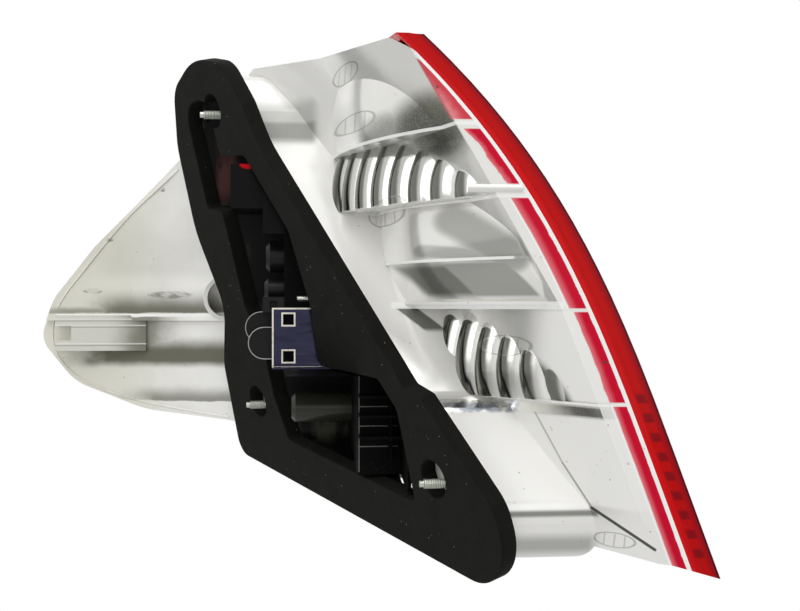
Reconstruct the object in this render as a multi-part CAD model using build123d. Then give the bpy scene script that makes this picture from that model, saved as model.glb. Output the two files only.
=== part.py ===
from build123d import *
import math
import os

# Frame: X to the rear of the car, Y outboard, Z up, origin on the lower stud at the seal face

# General sizes in mm
wall = 3.0
reach = 400.0

# Seal face: turned inboard and leaning down
seal_yaw = 27.0
seal_pitch = 14.0
seal_thick = 10.5
flange_thick = 3.2
flange_inset = 7.0
neck_inset = 11.0
opening_ease = 1.5
collar_wall = 2.4
carrier_ease = 1.0

# Seal outline and opening in the seal plane: across, up, corner radius
seal_corners = [
    (-133, 238, 22), (-150, 266, 24), (-190, 276, 60), (-231, 261, 25), (-247, 222, 40),
    (-249, 160, 60), (-229, 103, 30), (-253, 60, 30), (-259, -9, 13), (58, -62, 32), (53, -8, 28),
    (4, 51, 3), (-11, 56, 3), (-123, 209, 60),
]
opening_corners = [
    (-219, 248, 16), (-182, 248, 14), (-181, 208, 5), (-146, 205, 8), (-108, 153, 12),
    (-101, 104, 6), (-107, 65, 5), (-38, 60, 6), (-24, 42, 8), (-25, -15, 4), (-173, 9, 5),
    (-181, 40, 15), (-181, 68, 15), (-195, 104, 12), (-197, 171, 5), (-219, 175, 4),
]

# Studs: three places in the seal plane, thread M6
stud_places = [(0, 0), (-177.2, 235.8), (-209, 31.8)]
stud_r = 3.0
stud_root_r = 3.6
stud_front = 8.5
stud_seat = 15.0
stud_relief_r = 2.5
stud_relief = 5.2
dog_r = 2.1
dog_len = 2.5
boss_r = 8.0
stud_hole_r = 11.5
stud_hole_up = 2.5

# Side outline of the lamp: X, Z, corner radius
side_corners = [
    (300, 243, 0), (-20, 243, 30), (-60, 256, 40), (-101, 262, 16), (-165, 205, 80),
    (-227, 146, 80), (-258, 107, 40), (-269, 76, 18), (-243, 43, 40), (-189, 22, 80),
    (-122, 14, 80), (64, -29, 30), (120, -37, 20), (147, -45, 0), (300, -90, 0),
]

# Roof of the lamp: height at the inboard edge and rise per mm outboard
roof_z = 243.5
roof_rise = 0.083

# Lens surface: straight rake plus a roll-over at the top, plan is a superellipse
rim_y = -58.0
rake_x0 = 130.0
rake = 0.375
roll = 25.0
roll_z = 196.0
roll_power = 3.4
plan_x = -290.0
plan_depth = 363.0
plan_power = 2.25
tumble = 16.0
lens_levels = [-90, -30, 30, 90, 140, 190, 235, 290]
lens_skin = 3.0
lens_skirt = 14.0
reflex_thick = 2.0
wing_depth = 42.0
wing_step = 4.0
wing_step_z = 90.0
wing_from_y = 200.0

# Front wall of the bowls: height, rim X, middle X, outer X
front_levels = [(300, -56, -90, -190), (190, 8, -26, -121), (100, 60, 6, -97), (-100, 138, 16, -42)]
front_mid_y = 60.0
front_out_y = 225.0

# Bowls: turning axis X and Z, lower and upper level, start and end of the plan curve, bulge, flutes, lips
bowl_back_y = 130.0
side_rib = (10, 39, 163, 2.4)
lip_thick = 1.8
lip_out = 1.6
flute_rise = 3.0
bowls = [
    dict(axis=(75, 235), z=(196.5, 256), start=(4, -57), end=(-57, 105), bulge=14, flutes=0, lips=[197]),
    dict(axis=(34, 166), z=(160, 196), start=(19, -46), end=(-54, 95), bulge=8, flutes=8, lips=[]),
    dict(axis=(80, 146), z=(99.5, 159.5), start=(36, -54), end=(-24, 66), bulge=10, flutes=0, lips=[159, 127, 103]),
    dict(axis=(92, 66), z=(49, 99), start=(82, -53), end=(-8, 75), bulge=8, flutes=9, lips=[]),
]

# Bulb carrier steps: upper front and back plate, lower front and back plate
carrier_thick = 2.5
upper_x = -84.0
upper_back_x = -44.0
upper_edge_y = 103.0
lower_x = -39.0
lower_back_x = -12.0
lower_edge_y = 66.0
carrier_step_z = 60.0
rib_levels = [45, 33, 20]
rib_depth = 18.0
rib_thick = 1.6
rib_post_x = -20.0

# Bulb holders: Y, Z, radius, front length
holder_tail_at = (128, 134, 10.5, 12)
holder_indicator_at = (128, 112, 8.0, 13)
holder_reversing_at = (132, 33, 10.0, 40)
holder_chamfer = 2.5
bulb_neck = 8.0
bulb_len = 34.0

# Plug socket
plug_box = (35, 38, 29)
plug_y = 112.0
plug_z = 165.0
plug_wall = 2.2
plug_depth = 22.0
pin_size = 1.4
pin_len = 10.0
pin_pitch = 7.0

# Latch box and finger tabs
latch_box_size = (14, 13, 10)
latch_y = 105.0
latch_z = 97.0
latch_hole = 5.0
tab_r = 10.5
tab_thick = 2.5
tab_upper_at = (-99, 118, 87)
tab_lower_at = (-97, 108, 77)

# Sheet bracket
sheet = 0.9
bracket_x = (-92, upper_back_x)
bracket_y = 97.0
bracket_z = (60, 100)
bracket_flange = 14.0
window_size = 7.0
window_x = -85.0

# Small metal pin
small_pin_r = 1.7
small_pin_at = (88, 106)
small_pin_x = (-76, upper_back_x)

# Guide and ring on the wing
guide_x = (-256, -188)
guide_z = (67, 94)
guide_front_y = 254.0
guide_slot = (12, 11)
ring_at = (-126, 107)
ring_r = 17.0
ring_wall = 3.0
ring_front_y = 224.0
ring_gap = 0.2

# Optics and windows of the lens
optic_count = 9
optic_size = 5.2
optic_thick = 2.2
optic_strip = 1.2
optic_z = (52, -31)
optic_back = 7.5
optic_gap = 0.1
window_reversing = (-34, 165, 52, 100)
window_indicator = (-34, 150, 162, 194)
reflex_box = (0, 160, -22, 40)


def rounded(corners):
    face = make_face(Polyline([(x, y) for x, y, r in corners], close=True))
    for x, y, r in corners:
        if r > 0:
            nearest = face.vertices().sort_by_distance((x, y))[0]
            face = fillet(nearest, r)
    return face


def block(x0, x1, y0, y1, z0, z1):
    return Pos((x0 + x1) / 2, (y0 + y1) / 2, (z0 + z1) / 2) * Box(x1 - x0, y1 - y0, z1 - z0)


def rod(x0, x1, y, z, r):
    return Pos((x0 + x1) / 2, y, z) * Rot(0, 90, 0) * Cylinder(r, x1 - x0)


# Seal plane
yaw = math.radians(seal_yaw)
pitch = math.radians(seal_pitch)
seal_normal = Vector(-math.cos(pitch) * math.cos(yaw), -math.cos(pitch) * math.sin(yaw), -math.sin(pitch))
seal_plane = Plane(origin=(0, 0, 0), x_dir=(math.sin(yaw), -math.cos(yaw), 0), z_dir=seal_normal)
rearward = Vector(1, 0, 0)
seal_run = seal_thick / -seal_normal.X
seal_outline = rounded(seal_corners)
opening = rounded(opening_corners)


def stud_point(place):
    return seal_plane.from_local_coords(Vector(place[0], place[1], 0))


def on_seal(sketch, depth):
    return seal_plane * Pos(0, 0, -depth) * sketch


# Gasket
gasket = extrude(on_seal(seal_outline - opening, seal_thick), seal_thick, dir=seal_normal)
for place in stud_places:
    hole = Pos(place[0], place[1] + stud_hole_up) * Circle(stud_hole_r)
    gasket -= extrude(on_seal(hole, seal_thick), seal_thick, dir=seal_normal)
before_seal = extrude(on_seal(Rectangle(3 * reach, 3 * reach), seal_thick), reach, dir=seal_normal)


# Lens surface, moved inwards by an inset
def rim_x(z):
    return rake_x0 - rake * z - roll * (max(z, 0) / roll_z) ** roll_power


def lens_depth(z):
    return plan_depth - tumble * (max(z - 40, 0) / 200) ** 2


def within_lens(inset):
    sections = []
    for z in lens_levels:
        long_half = rim_x(z) - plan_x - inset
        wide_half = lens_depth(z) - inset
        curve = []
        for step in range(9):
            turn = math.radians(90 * step / 8)
            x = plan_x + long_half * max(math.cos(turn), 0) ** (2 / plan_power) if step < 8 else plan_x
            y = rim_y + wide_half * math.sin(turn) ** (2 / plan_power)
            curve.append((x, y))
        edge = Spline(curve, tangents=[(0, 1), (-1, 0)])
        rest = Polyline([
            curve[-1], (-reach, curve[-1][1]), (-reach, -reach / 2), (curve[0][0], -reach / 2), curve[0],
        ])
        sections.append(Pos(0, 0, z) * make_face([edge, *rest.edges()]))
    return loft(sections)


side_outline = rounded(side_corners)


def within_side(inset):
    shape = offset(side_outline, amount=-inset) if inset > 0 else side_outline
    on_side = Plane(origin=(0, rim_y + inset, 0), x_dir=(1, 0, 0), z_dir=(0, -1, 0)) * shape
    low = roof_z - inset
    roof = Polyline([
        (rim_y - 10, low - 10 * roof_rise), (rim_y + reach, low + reach * roof_rise),
        (rim_y + reach, reach), (rim_y - 10, reach),
    ], close=True)
    over = extrude(Plane(origin=(-reach, 0, 0), x_dir=(0, 1, 0), z_dir=(1, 0, 0)) * make_face(roof), 2 * reach)
    return extrude(on_side, reach, dir=(0, 1, 0)) - over


# Space in front of the bowls, moved back by an inset
def before_bowls(inset):
    sections = []
    shift = 1.3 * inset
    for z, rim, mid, out in front_levels:
        slope = (mid - rim) / (front_mid_y - rim_y)
        near = rim - slope * (rim_y + reach / 2)
        points = [
            (-reach, -reach / 2), (near + shift, -reach / 2), (mid + shift, front_mid_y),
            (out + shift, front_out_y), (out + shift, reach), (-reach, reach),
        ]
        sections.append(Pos(0, 0, z) * make_face(Polyline(points, close=True)))
    return loft(sections, ruled=True)


outer_lens = within_lens(0)
inner_lens = within_lens(lens_skin)
lens_seat = within_lens(lens_skirt)
side = within_side(0)
side_inner = within_side(wall)
front = before_bowls(0)
front_inner = before_bowls(wall)
lower_half = block(-reach, reach, -reach, reach, -reach, wing_step_z)
inboard = block(-reach, reach, -reach, wing_from_y, -reach, reach)
inboard_inner = block(-reach, reach, -reach, wing_from_y + wall, -reach, reach)
wing_space = within_lens(wing_depth) + (within_lens(wing_depth - wing_step) & lower_half)
wing_space_inner = within_lens(wing_depth - wall) + (within_lens(wing_depth - wing_step - wall) & lower_half)
body = (side & lens_seat) - (front & inboard) - (front & wing_space)
body_space = (side_inner & lens_seat) - (front_inner & inboard_inner) - (front_inner & wing_space_inner)


# Bowls turned about a level axis, scalloped along the plan curve
def bowl(data, inset):
    x0, y0 = data["start"]
    x1, y1 = data["end"]
    away = Vector(y0 - y1, x1 - x0).normalized()
    if away.X > 0:
        away = away * -1
    first = Vector(x0, y0) - away * inset
    last = Vector(x1, y1) - away * inset
    count = data["flutes"] if inset == 0 else 0
    if count:
        ridge = Edge.make_three_point_arc(first, (first + last) / 2 + away * data["bulge"], last)
        edges = []
        for step in range(count):
            near = ridge.position_at(step / count)
            far = ridge.position_at((step + 1) / count)
            out = ridge.position_at((step + 0.5) / count) + away * flute_rise
            edges.append(Edge.make_three_point_arc(near, out, far))
    else:
        edges = [Edge.make_three_point_arc(first, (first + last) / 2 + away * data["bulge"], last)]
    axis_x, axis_z = data["axis"]
    back_x = axis_x - 0.5
    back = Polyline([
        (last.X, last.Y), (last.X, bowl_back_y), (back_x, bowl_back_y), (back_x, first.Y), (first.X, first.Y),
    ])
    profile = Pos(0, 0, axis_z) * make_face(edges + list(back.edges()))
    turned = revolve(profile, Axis((axis_x, 0, axis_z), (0, 1, 0)), 360)
    low, high = data["z"]
    return turned & block(-reach, axis_x, -reach, reach, low + inset, high - inset)


parts_of_housing = body
space = body_space
for data in bowls:
    parts_of_housing += bowl(data, 0) & side & lens_seat
    for level in data["lips"]:
        slab = block(-reach, reach, -reach, reach, level - lip_thick / 2, level + lip_thick / 2)
        parts_of_housing += bowl(data, -lip_out) & slab & side & lens_seat
    space += bowl(data, wall) & side_inner & lens_seat

# Neck from the seal flange to the bowls
neck_outline = offset(seal_outline, amount=-neck_inset)
neck_inner_outline = offset(seal_outline, amount=-neck_inset - wall)
neck = extrude(on_seal(neck_outline, seal_thick), reach, dir=rearward) & before_bowls(1)
neck_space = extrude(on_seal(neck_inner_outline, seal_thick), reach, dir=rearward) & before_bowls(wall + 1)
flange_outline = offset(seal_outline, amount=-flange_inset)
flange = extrude(on_seal(flange_outline, seal_thick), flange_thick, dir=seal_normal * -1)
housing = parts_of_housing + neck - space - neck_space + flange

# Collar round the opening, back to the bulb carrier's plates
def carrier_zone(more):
    upper = block(-reach, upper_back_x + more, -reach, reach, carrier_step_z, reach)
    return upper + block(-reach, lower_back_x + more, -reach, reach, -reach, carrier_step_z)


collar_outline = offset(opening, amount=opening_ease + collar_wall)
collar = extrude(on_seal(collar_outline, seal_thick + flange_thick / 2), reach, dir=rearward)
mouth = extrude(Pos(-wall, 0, 0) * on_seal(offset(opening, amount=opening_ease), seal_thick), reach, dir=rearward)
flange_slab = extrude(on_seal(Rectangle(3 * reach, 3 * reach), seal_thick - wall), 3 * wall, dir=seal_normal * -1)
housing += collar & carrier_zone(0) & side & lens_seat
housing -= mouth & (carrier_zone(1) + flange_slab)

# Half-round rib on the side wall
rib_x0, rib_x1, rib_z, rib_r = side_rib
housing += rod(rib_x0, rib_x1, rim_y + rib_r / 2, rib_z, rib_r)

# Stud bosses and studs
studs = []
for place in stud_places:
    point = stud_point(place)
    seat = point.X + seal_run
    root = seat + stud_root_r
    seat_end = seat + stud_seat
    boss = rod(point.X, seat_end + 3, point.Y, point.Z, boss_r) - before_seal
    housing += boss
    studs.append(
        rod(point.X - stud_front, point.X - stud_front + dog_len, point.Y, point.Z, dog_r)
        + rod(point.X - stud_front + dog_len, seat - stud_relief, point.Y, point.Z, stud_r)
        + rod(seat - stud_relief, root, point.Y, point.Z, stud_relief_r)
        + rod(root, seat_end, point.Y, point.Z, stud_root_r)
    )
for stud in studs:
    housing -= stud

# Lens, its windows and the optics behind it
skin = outer_lens - inner_lens
lens_red = (side & outer_lens) - (side_inner & inner_lens) - lens_seat


def lens_window(y0, y1, z0, z1):
    return skin & block(-150, reach, y0, y1, z0, z1)


lens_reversing = lens_window(*window_reversing)
lens_indicator = lens_window(*window_indicator)
lens_red = lens_red - lens_reversing - lens_indicator
ry0, ry1, rz0, rz1 = reflex_box
reflex_reflector = (inner_lens - within_lens(lens_skin + reflex_thick)) & block(-150, reach, ry0, ry1, rz0, rz1)

optic_top, optic_low = optic_z
optic_y = rim_y + wall + optic_gap
top_x = rim_x(optic_top) - optic_back
low_x = rim_x(optic_low) - optic_back
optic_row = extrude(
    Plane(origin=(0, optic_y, 0), x_dir=(1, 0, 0), z_dir=(0, -1, 0))
    * make_face(Polyline([
        (top_x - 3, optic_top + 4), (top_x + 2, optic_top + 4), (low_x + 3, optic_low - 4), (low_x - 2, optic_low - 4),
    ], close=True)),
    optic_strip,
    dir=(0, 1, 0),
)
for step in range(optic_count):
    z = optic_top + (optic_low - optic_top) * step / (optic_count - 1)
    x = rim_x(z) - optic_back + 0.5
    half = optic_size / 2
    optic_row += block(x - half, x + half, optic_y, optic_y + optic_thick, z - half, z + half)

# Bulb carrier: stepped plates within the opening
def carrier_run(depth):
    outline = on_seal(offset(opening, amount=-carrier_ease), depth)
    return extrude(Pos(-reach / 2, 0, 0) * outline, reach, dir=rearward)


carrier_column = carrier_run(0) & carrier_run(seal_thick + flange_thick)
above = carrier_step_z
t = carrier_thick
upper_steps = (
    block(upper_x, upper_x + t, upper_edge_y, reach, above, reach)
    + block(upper_x, upper_back_x + t, upper_edge_y, upper_edge_y + t, above, reach)
    + block(upper_back_x, upper_back_x + t, -reach, upper_edge_y + t, above, reach)
)
lower_steps = (
    block(lower_x, lower_x + t, lower_edge_y, reach, -reach, above)
    + block(lower_x, lower_back_x + t, lower_edge_y, lower_edge_y + t, -reach, above)
    + block(lower_back_x, lower_back_x + t, -reach, lower_edge_y + t, -reach, above)
)
step_wall = block(upper_x, lower_back_x + t, -reach, reach, above - t / 2, above + t / 2)
bulb_carrier = (upper_steps + lower_steps + step_wall) & carrier_column
ribs = Part() + [
    block(lower_x, lower_back_x, lower_edge_y - rib_depth, lower_edge_y, z, z + rib_thick) for z in rib_levels
]
ribs += block(rib_post_x, rib_post_x + rib_thick, lower_edge_y - rib_depth / 2, lower_edge_y, 5, 50)
bulb_carrier += ribs & carrier_column


# Holders and bulbs
def holder(at, plate_x):
    y, z, r, length = at
    back = rod(plate_x - length, plate_x, y, z, r)
    rim = back.edges().filter_by(GeomType.CIRCLE).sort_by(Axis.X)[0]
    return chamfer(rim, holder_chamfer)


def bulb(at, plate_x):
    y, z, r, length = at
    foot = plate_x + carrier_thick
    glass_r = r - 1.0
    stem = rod(foot, foot + bulb_neck, y, z, glass_r - 1.5)
    glass = rod(foot + bulb_neck, foot + bulb_len, y, z, glass_r)
    tip = glass.edges().filter_by(GeomType.CIRCLE).sort_by(Axis.X)[-1]
    return stem + chamfer(tip, glass_r / 2)


holder_tail = holder(holder_tail_at, upper_x)
holder_indicator = holder(holder_indicator_at, upper_x)
holder_reversing = holder(holder_reversing_at, lower_x)
bulb_tail = bulb(holder_tail_at, upper_x)
bulb_indicator = bulb(holder_indicator_at, upper_x)
bulb_reversing = bulb(holder_reversing_at, lower_x)

# Plug socket and its pins
px, py, pz = plug_box
connector_block = block(upper_x - px, upper_x, plug_y, plug_y + py, plug_z, plug_z + pz)
connector_block -= block(
    upper_x - px, upper_x - px + plug_depth,
    plug_y + plug_wall, plug_y + py - plug_wall, plug_z + plug_wall, plug_z + pz - plug_wall,
)
connector_block += block(upper_x - 14, upper_x, upper_edge_y + 1, plug_y, plug_z - 17, plug_z + 15)
pin_foot = upper_x - px + plug_depth
connector_pins = []
for row in (-0.5, 0.5):
    for column in (-1.5, -0.5, 0.5, 1.5):
        y = plug_y + py / 2 + column * pin_pitch
        z = plug_z + pz / 2 + row * pin_pitch * 1.4
        half = pin_size / 2
        connector_pins.append(block(pin_foot - pin_len, pin_foot, y - half, y + half, z - half, z + half))

# Latch box and finger tabs
lx, ly, lz = latch_box_size
latch_box = block(upper_x - lx, upper_x, latch_y, latch_y + ly, latch_z, latch_z + lz)
latch_box -= block(
    upper_x - lx / 2 - latch_hole / 2, upper_x - lx / 2 + latch_hole / 2, latch_y, latch_y + ly / 2,
    latch_z + lz / 2 - latch_hole / 2, latch_z + lz / 2 + latch_hole / 2,
)


def release_tab(at):
    x, y, z = at
    disc = Pos(x, y + tab_thick / 2, z) * Rot(90, 0, 0) * Cylinder(tab_r, tab_thick)
    stem = block(x, upper_x, y, y + tab_thick, z - tab_r, z + tab_r)
    return (disc & block(x - tab_r, x, y, y + tab_thick, z - tab_r, z + tab_r)) + stem


release_tab_upper = release_tab(tab_upper_at) - latch_box
release_tab_lower = release_tab(tab_lower_at)

# Folded bracket, its foot rests on the carrier
bx0, bx1 = bracket_x
bz0, bz1 = bracket_z
foot_z = bz0 + carrier_thick / 2
contact_bracket = block(bx0, bx1, bracket_y, bracket_y + sheet, foot_z, bz1)
contact_bracket += block(bx0, bx1, bracket_y - bracket_flange, bracket_y + sheet, foot_z, foot_z + sheet)
contact_bracket += block(bx0, bx1, bracket_y, upper_edge_y, bz1 - sheet, bz1)
for z in (foot_z + 4, bz1 - 4 - window_size):
    contact_bracket -= block(
        window_x, window_x + window_size, bracket_y - 1, bracket_y + sheet + 1, z, z + window_size)

# Small pin, strips behind the carrier
carrier_pin = rod(small_pin_x[0], small_pin_x[1], small_pin_at[0], small_pin_at[1], small_pin_r)
strip_x = upper_x + carrier_thick
contact_strips = [
    block(strip_x, strip_x + sheet, 142, 146, 105, 190),
    block(strip_x, strip_x + sheet, 150, 154, 105, 190),
]

# Guide and ring on the wing
gx0, gx1 = guide_x
gz0, gz1 = guide_z
slot_x, slot_z = guide_slot
wing_front = front & wing_space
locating_guide = block(gx0, gx1, guide_front_y, reach, gz0, gz1) & wing_front & side
slot_mid = (gz0 + gz1) / 2
locating_guide -= block(gx0 - 10, gx0 + slot_x, guide_front_y - 1, reach, slot_mid - slot_z / 2, slot_mid + slot_z / 2)
ring_x, ring_z = ring_at
ring_solid = Cylinder(ring_r, reach) - Cylinder(ring_r - ring_wall, reach)
ring_column = Pos(ring_x, ring_front_y + ring_gap + reach / 2, ring_z) * Rot(90, 0, 0) * ring_solid
breather_ring = Pos(0, -ring_gap, 0) * (ring_column & wing_front)

# Export
os.makedirs("parts", exist_ok=True)
nodes = dict(
    housing=housing, lens_red=lens_red, lens_reversing=lens_reversing, lens_indicator=lens_indicator,
    gasket=gasket, mounting_studs=Compound(children=studs), bulb_carrier=bulb_carrier,
    connector_block=connector_block, connector_pins=Compound(children=connector_pins),
    holder_tail=holder_tail, holder_indicator=holder_indicator, holder_reversing=holder_reversing,
    bulb_tail=bulb_tail, bulb_indicator=bulb_indicator, bulb_reversing=bulb_reversing,
    latch_box=latch_box, release_tab_upper=release_tab_upper, release_tab_lower=release_tab_lower,
    contact_bracket=contact_bracket, carrier_pin=carrier_pin, contact_strips=Compound(children=contact_strips),
    locating_guide=locating_guide, breather_ring=breather_ring, optic_row=optic_row,
    reflex_reflector=reflex_reflector,
)
for name, shape in nodes.items():
    export_step(shape, f"parts/{name}.step")
    print(name, len(shape.solids()), round(shape.volume / 1000, 2), "cm3")
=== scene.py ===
import math

import bmesh
import bpy
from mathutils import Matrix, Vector


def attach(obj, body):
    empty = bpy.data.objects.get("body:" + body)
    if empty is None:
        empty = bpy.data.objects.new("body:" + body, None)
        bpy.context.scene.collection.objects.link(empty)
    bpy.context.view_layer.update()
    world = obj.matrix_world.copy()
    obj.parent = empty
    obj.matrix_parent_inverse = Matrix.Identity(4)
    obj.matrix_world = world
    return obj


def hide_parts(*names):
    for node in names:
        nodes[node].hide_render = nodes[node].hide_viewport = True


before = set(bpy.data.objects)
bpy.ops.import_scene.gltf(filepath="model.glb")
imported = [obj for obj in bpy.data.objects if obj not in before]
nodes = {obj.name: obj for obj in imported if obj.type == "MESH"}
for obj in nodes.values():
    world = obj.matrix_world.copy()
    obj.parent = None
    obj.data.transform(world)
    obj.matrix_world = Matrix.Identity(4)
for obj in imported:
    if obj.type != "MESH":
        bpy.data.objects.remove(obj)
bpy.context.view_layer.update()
print("frame loaded with", len(nodes), "nodes")


# A socket that can stand in sums
class Wire:
    def __init__(self, socket):
        self.socket = socket

    def calc(self, how, *others, swap=False):
        node = self.socket.id_data.nodes.new("ShaderNodeMath")
        node.operation = how
        terms = [self, *others]
        if swap:
            terms.reverse()
        for slot, term in zip(node.inputs, terms):
            feed(slot, term)
        return Wire(node.outputs[0])

    def __add__(self, other):
        return self.calc("ADD", other)

    __radd__ = __add__

    def __sub__(self, other):
        return self.calc("SUBTRACT", other)

    def __rsub__(self, other):
        return self.calc("SUBTRACT", other, swap=True)

    def __mul__(self, other):
        return self.calc("MULTIPLY", other)

    __rmul__ = __mul__

    def __truediv__(self, other):
        return self.calc("DIVIDE", other)

    def __rtruediv__(self, other):
        return self.calc("DIVIDE", other, swap=True)

    def __pow__(self, other):
        return self.calc("POWER", other)

    def least(self, other):
        return self.calc("MINIMUM", other)

    def most(self, other):
        return self.calc("MAXIMUM", other)

    def size(self):
        return self.calc("ABSOLUTE")

    def sine(self):
        return self.calc("SINE")

    def part(self):
        return self.calc("FRACT")


def feed(slot, value):
    if isinstance(value, Wire):
        slot.id_data.links.new(value.socket, slot)
    elif hasattr(value, "__len__") and len(value) == 3 and len(slot.default_value) == 4:
        slot.default_value = (*value, 1.0)
    else:
        slot.default_value = value


def strongest(shares):
    total = shares[0]
    for share in shares[1:]:
        total = total.most(share)
    return total


# One node tree and the nodes made in it
class Finish:
    def __init__(self, name, tree=None, **sockets):
        self.tree = tree
        if tree is None:
            self.material = bpy.data.materials.new(name)
            self.material.use_nodes = True
            self.tree = self.material.node_tree
            self.shader = self.first("BSDF_PRINCIPLED")
            self.spot = self.node("ShaderNodeTexCoord", {}, "Object")
            self.x, self.y, self.z = self.split(self.spot)
        self.set(**sockets)

    def first(self, kind):
        return next(node for node in self.tree.nodes if node.type == kind)

    def set(self, **sockets):
        for key, value in sockets.items():
            feed(self.shader.inputs[key.replace("_", " ")], value)

    # Sockets go by name, or by number as i0, i1
    def node(self, kind, settings, out=0, **sockets):
        made = self.tree.nodes.new(kind)
        for key, value in settings.items():
            setattr(made, key, value)
        for key, value in sockets.items():
            numbered = key[0] == "i" and key[1:].isdigit()
            feed(made.inputs[int(key[1:]) if numbered else key.replace("_", " ")], value)
        return Wire(made.outputs[out])

    def split(self, vector):
        return [self.node("ShaderNodeSeparateXYZ", {}, axis, Vector=vector) for axis in range(3)]

    def grain(self, scale, detail=2.0, rough=0.5, stretch=(1.0, 1.0, 1.0)):
        where = self.node("ShaderNodeVectorMath", {"operation": "MULTIPLY"}, i0=self.spot, i1=stretch)
        return self.node("ShaderNodeTexNoise", {}, Vector=where, Scale=scale, Detail=detail, Roughness=rough)

    # Scattered dots, left out where a coarser noise is low
    def specks(self, scale, size):
        dots = self.node("ShaderNodeTexVoronoi", {}, "Distance", Vector=self.spot, Scale=scale)
        few = self.grain(scale * 0.37, 1.0)
        return self.ramp(dots, size, size * 0.5) * self.ramp(few, 0.52, 0.6)

    def ramp(self, value, low, high):
        smooth = {"interpolation_type": "SMOOTHSTEP"}
        return self.node("ShaderNodeMapRange", smooth, Value=value, From_Min=low, From_Max=high)

    def band(self, value, low, high, soft):
        return self.ramp(value, low - soft, low + soft) * self.ramp(value, high + soft, high - soft)

    # Share of a region: on each axis where it starts and where it is full
    def region(self, **limits):
        steps = [self.ramp(getattr(self, axis), *limit) for axis, limit in limits.items()]
        return math.prod(steps[1:], start=steps[0])

    def blend(self, share, first, second):
        return self.node("ShaderNodeMix", {"data_type": "RGBA"}, 2, i0=share, i6=first, i7=second)

    # Colours laid over one another, each with its share
    def paint(self, colour, layers):
        for share, over in layers:
            colour = self.blend(share, colour, over)
        return colour

    def blob(self, middle, reach, soft=1.0):
        axes = zip((self.x, self.y, self.z), middle, reach)
        offX, offY, offZ = [((axis - centre) / half) ** 2.0 for axis, centre, half in axes]
        return self.ramp(offX + offY + offZ, 1.0, 1.0 - soft)

    # Stroke between two points of the side view
    def stroke(self, start, end, width):
        runX = end[0] - start[0]
        runZ = end[1] - start[1]
        along = ((self.x - start[0]) * runX + (self.z - start[1]) * runZ) / (runX * runX + runZ * runZ)
        along = along.most(0.0).least(1.0)
        offX = self.x - start[0] - along * runX
        offZ = self.z - start[1] - along * runZ
        return self.ramp(offX * offX + offZ * offZ, width * width, width * width * 0.2)

    # Thin oval outline with upright bars in the side view
    def oval(self, middle, reach, width):
        across = (self.x - middle[0]) / reach[0]
        away = across ** 2.0 + ((self.z - middle[1]) / reach[1]) ** 2.0
        bars = self.band((across * 2.0 + 0.5).part(), 0.42, 0.58, 0.06) * self.ramp(away, 1.0, 0.9) * 0.7
        return self.band(away, 1.0 - width, 1.0 + width, width * 0.5).most(bars)

    def bump(self, height, strength, distance):
        self.set(Normal=self.node("ShaderNodeBump", {}, Height=height, Strength=strength, Distance=distance))


def dress(piece, finish):
    piece.data.materials.clear()
    piece.data.materials.append(finish.material)


def place(name, data):
    made = bpy.data.objects.new(name, data)
    bpy.context.scene.collection.objects.link(made)
    return made


def newPiece(name, data, finish):
    piece = place(name, data)
    dress(piece, finish)
    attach(piece, "root")
    return piece


def storeMesh(made, name):
    mesh = bpy.data.meshes.new(name)
    made.to_mesh(mesh)
    made.free()
    return mesh


# How far a point lies in front of the lens edge, in the side view
rimCurve = dict(foot=0.130, rake=0.375, roll=0.025, rollTop=0.196, rollPower=3.4)


def beforeRim(finish):
    roll = (finish.z.most(0.0) / rimCurve["rollTop"]) ** rimCurve["rollPower"] * rimCurve["roll"]
    return rimCurve["foot"] - finish.z * rimCurve["rake"] - roll - finish.x


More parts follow.
